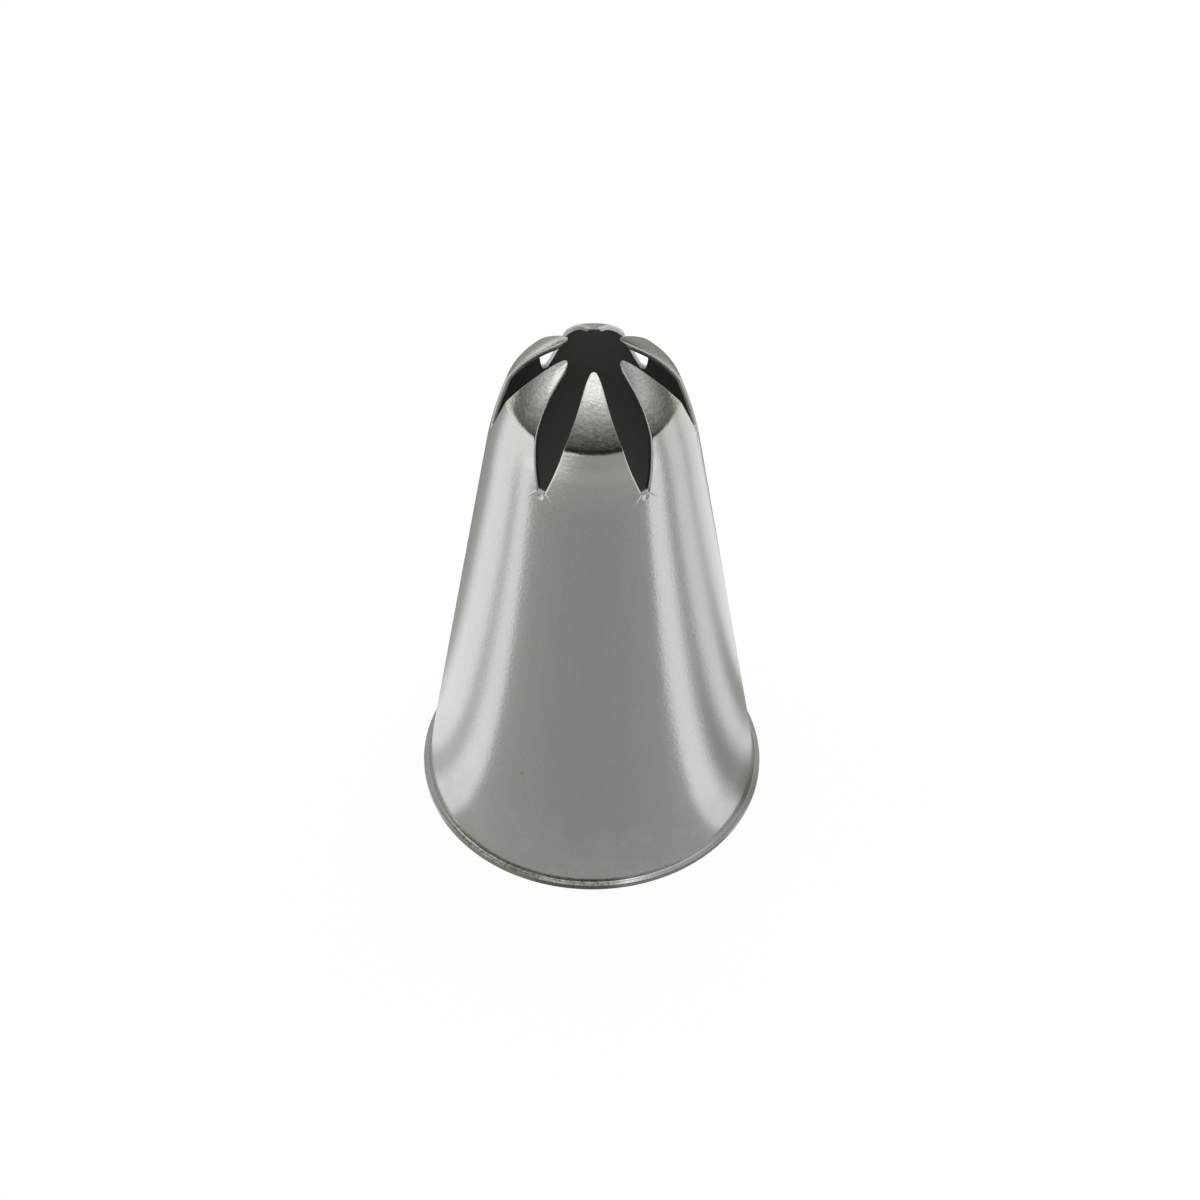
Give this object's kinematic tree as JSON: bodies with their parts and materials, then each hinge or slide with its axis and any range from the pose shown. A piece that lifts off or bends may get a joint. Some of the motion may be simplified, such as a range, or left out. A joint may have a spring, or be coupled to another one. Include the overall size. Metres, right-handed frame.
{
  "type": "piping nozzle",
  "caption": "Tapered piping nozzle of drawn sheet steel with a turned-out rim and a closed star outlet of bent-in petals.",
  "frame": {"origin": "centre of the base, on the plane that the turned-out rim stands on", "axes": "+Z along the nozzle's axis towards the outlet, -Y through the middle of one petal, the front in the picture"},
  "size_m": [0.025, 0.025, 0.0428],
  "materials": {
    "satin_steel": "satin, rougher on the petals"
  },
  "bodies": {
    "root": {"nozzle_shell": "satin_steel"}
  },
  "joints": []
}
